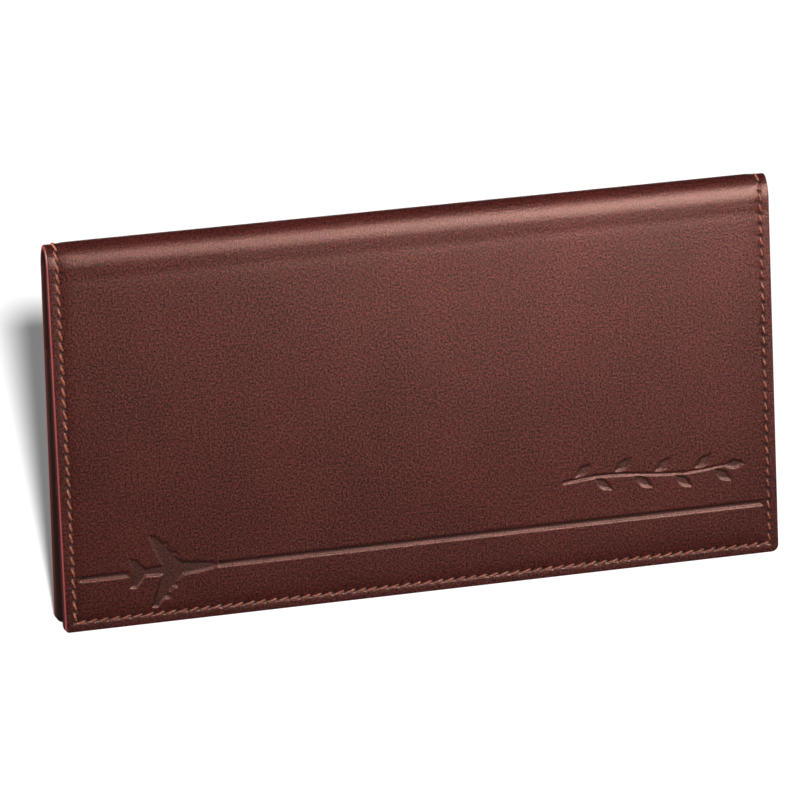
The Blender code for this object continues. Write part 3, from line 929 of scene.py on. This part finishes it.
def seam_rows(side, depth_at, inner=False):
    """Stitches between neighbouring holes of the edge seam."""
    rows = []
    for first, second in zip(HOLES[:-1], HOLES[1:]):
        x, s = (first[:2] + second[:2]) / 2
        step = second[:2] - first[:2]
        step = step / np.linalg.norm(step)
        rows.append(frame_at(x, s, depth_at(x, s), step[0], step[1], side, inner))
    return rows


def outer_depth(x, s):
    """The right-hand seam is pulled tighter than the others, so its thread sinks further into the leather."""
    tight = x > HALF_WIDTH - 4 * MM and s < COVER_HEIGHT - 4 * MM
    return TIGHT_THREAD_DEPTH if tight else THREAD_DEPTH


def front_inner_depth(x, s):
    """Depth of the innermost layer at the seam of the front cover, where the inner stitches lie."""
    if s < SLOT_TOP:
        return lining_back(0, s, SEAM_INSET) if s < TICKET_TOP else POCKET_BACK
    row = min(2, int((s - SLOT_TOP) / SLOT_STEP))
    top = SLOT_TOP + row * SLOT_STEP
    low = COVER_HEIGHT if row == 2 else top + SLOT_STEP + SLOT_OVERLAP
    lean = SLOT_RISE * (1 - (s - top) / (low - top))
    return mix(SLOT_FACE, POCKET_BACK, SLOT_HOLD) + lean + SLOT_STRIP


def back_inner_depth(x, s):
    top = PASSPORT_TOP if x < PASSPORT_RIGHT else NOTE_TOP
    return lining_back(0, s, SEAM_INSET) if s < top else POCKET_BACK


front_rows = seam_rows(1, outer_depth) + seam_rows(1, front_inner_depth, True)
front_stitches = sew("front_seam_stitches", front_rows)
back_rows = seam_rows(-1, outer_depth) + seam_rows(-1, back_inner_depth, True)
back_stitches = sew("back_seam_stitches", back_rows)


def divider_rows(x, top, depth, side):
    """Stitches of a straight seam down the inside of a cover."""
    low = COVER_HEIGHT - SEAM_INSET
    count = round((low - top) / STITCH_PITCH)
    step = (low - top) / count
    return [frame_at(x, top + step * (number + 0.5), depth, 0, 1, side, True) for number in range(count)]


card_rows = divider_rows(0, SLOT_TOP + 1 * MM, SLOT_FACE + INNER_STITCH_LIFT, 1)
card_divider = sew("card_divider_stitches", card_rows)
pocket_middle = (PASSPORT_RIGHT + NOTE_LEFT) / 2
pocket_rows = divider_rows(pocket_middle, NOTE_TOP, POCKET_BACK - POCKET_STITCH_SINK, -1)
pocket_divider = sew("pocket_divider_stitches", pocket_rows)

# ---------------------------------------------------------------- onto the frame


def across_fold(piece, side, *nodes):
    """Bakes the piece's placement into its mesh and hides the frame's parts that it stands for."""
    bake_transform(piece)
    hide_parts(*nodes)


across_fold(front_hide, 1, "front_leather", "spine_leather")
across_fold(back_hide, -1, "back_leather", "spine_leather")
across_fold(front_lining, 1, "front_lining", "spine_lining")
across_fold(back_lining, -1, "back_lining", "spine_lining")
across_fold(front_stitches, 1, "front_seam_thread", "spine_thread_left", "spine_thread_right")
across_fold(back_stitches, -1, "back_seam_thread", "spine_thread_left", "spine_thread_right")
riders = [
    (ticket_pocket, "front_cover", "ticket_pocket"),
    (passport_pocket, "back_cover", "passport_pocket"),
    (note_pocket, "back_cover", "note_pocket"),
    (card_divider, "front_cover", "card_divider_thread"),
    (pocket_divider, "back_cover", "pocket_divider_thread"),
]
for (column, row), piece in slots.items():
    riders.append((piece, "front_cover", f"card_slot_{column}_{ROW_NAMES[row]}"))
for piece, body, covered in riders:
    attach(piece, body)
    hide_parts(covered)
for name in ("front_board", "back_board"):
    board = frame["nodes"][name]
    board.data.materials.clear()
    board.data.materials.append(BOARD)

# ---------------------------------------------------------------- floor, light and camera


def make_floor():
    """A white studio floor, a little self-lit so that shadows stay grey."""
    mesh = bpy.data.meshes.new("studio_floor")
    work = bmesh.new()
    bmesh.ops.create_circle(work, cap_ends=True, segments=96, radius=4.0)
    work.to_mesh(mesh)
    work.free()
    floor = linked("studio_floor", mesh)
    material, tree = start_material("white_studio_floor")
    values = {"Base Color": linear("F2F2F2"), "Roughness": 0.9, "IOR": 1.0}
    values.update({"Emission Color": (1, 1, 1, 1), "Emission Strength": 0.16})
    end_material(tree, values)
    mesh.materials.append(material)
    return floor


FLOOR = make_floor()


def aimed(thing, place, target):
    thing.location = place
    thing.rotation_euler = (Vector(target) - Vector(place)).to_track_quat("-Z", "Y").to_euler()


def direction(azimuth, elevation):
    """Unit vector from the wallet: azimuth 0 straight in front, positive to the right, both in degrees."""
    a, e = math.radians(azimuth), math.radians(elevation)
    return Vector((math.sin(a) * math.cos(e), -math.cos(a) * math.cos(e), math.sin(e)))


def softbox(name, azimuth, elevation, reach, size, power, target, spread):
    """An area light at that distance round the wallet. size and power are in metres and watts."""
    light = bpy.data.lights.new(name, "AREA")
    light.shape = "RECTANGLE"
    light.size, light.size_y = size
    light.energy = power
    light.spread = math.radians(spread)
    thing = linked(name, light)
    aimed(thing, Vector((0, 0, 0.06)) + reach * direction(azimuth, elevation), target)
    return thing


key = softbox("key_softbox", 24, 13, 0.65, (0.26, 0.2), 0.28, (0.04, 0, 0.19), 54)
left = softbox("left_softbox", -91, 12, 0.6, (0.25, 0.25), 3.0, (0, 0, 0.06), 180)
glint = softbox("glint_strip", 16, 25, 0.9, (0.6, 0.14), 0.27, (0, 0, -0.04), 36)
rim_left = softbox("rim_strip_left", -58, 26, 0.9, (0.3, 0.2), 0.8, (-0.07, 0, 0.02), 60)
rim_right = softbox("rim_strip_right", 42, 22, 0.9, (0.3, 0.2), 0.6, (-0.07, 0, 0.02), 60)
for light in (glint, rim_left, rim_right):
    light.visible_diffuse = False
right = softbox("right_softbox", 97, 12, 0.6, (0.25, 0.25), 0.9, (0, 0, 0.06), 180)
rear = softbox("rear_softbox", 170, 10, 0.8, (0.4, 0.3), 1.4, (0, 0, 0.06), 180)

sun = bpy.data.lights.new("floor_sun", "SUN")
sun.energy = 11
sun.angle = math.radians(2.5)
floor_sun = linked("floor_sun", sun)
aimed(floor_sun, direction(-11.2, 16.7), (0, 0, 0))
floor_only = bpy.data.collections.new("lit_by_the_floor_sun")
floor_only.objects.link(FLOOR)
floor_sun.light_linking.receiver_collection = floor_only
all_but_floor = bpy.data.collections.new("not_the_floor")
all_but_floor.objects.link(FLOOR)
all_but_floor.collection_objects[0].light_linking.link_state = "EXCLUDE"
for light in (key, glint, left, right, rear, rim_left, rim_right):
    light.light_linking.receiver_collection = all_but_floor
FLOOR.visible_diffuse = False
FLOOR.visible_glossy = False


def make_world():
    """White behind everything, but only a dim grey as light, so that the softboxes do the modelling."""
    world = bpy.data.worlds.new("studio")
    world.use_nodes = True
    tree = world.node_tree
    tree.nodes.clear()
    path = node(tree, "ShaderNodeLightPath")
    dim = node(tree, "ShaderNodeBackground", {}, {"Color": (1, 1, 1, 1), "Strength": 0.06})
    white = node(tree, "ShaderNodeBackground", {}, {"Color": (1, 1, 1, 1), "Strength": 1.0})
    both = node(tree, "ShaderNodeMixShader", {}, {0: (path, "Is Camera Ray"), 1: (dim, 0), 2: (white, 0)})
    output = node(tree, "ShaderNodeOutputWorld")
    tree.links.new(both.outputs[0], output.inputs["Surface"])
    bpy.context.scene.world = world


make_world()


def make_camera():
    """A long lens from the wallet's left front and a little above it, rolled a touch."""
    azimuth, roll = math.radians(16.25), math.radians(1.86)
    target = Vector((-4.53, 0, 57.37)) * MM
    reach = 1973.6 * MM
    forward = -direction(-16.25, 14.90)
    right = Vector((math.cos(azimuth), -math.sin(azimuth), 0))
    up = right.cross(forward)
    axis_x = right * math.cos(roll) - up * math.sin(roll)
    axis_y = right * math.sin(roll) + up * math.cos(roll)
    data = bpy.data.cameras.new("camera")
    data.lens = 302.1
    data.sensor_width = 36
    data.clip_end = 50
    camera = linked("camera", data)
    turned = Matrix((axis_x, axis_y, -forward)).transposed().to_4x4()
    camera.matrix_world = Matrix.Translation(target - forward * reach) @ turned
    bpy.context.scene.camera = camera


make_camera()
bpy.context.scene.view_settings.view_transform = "Standard"

bpy.context.view_layer.update()
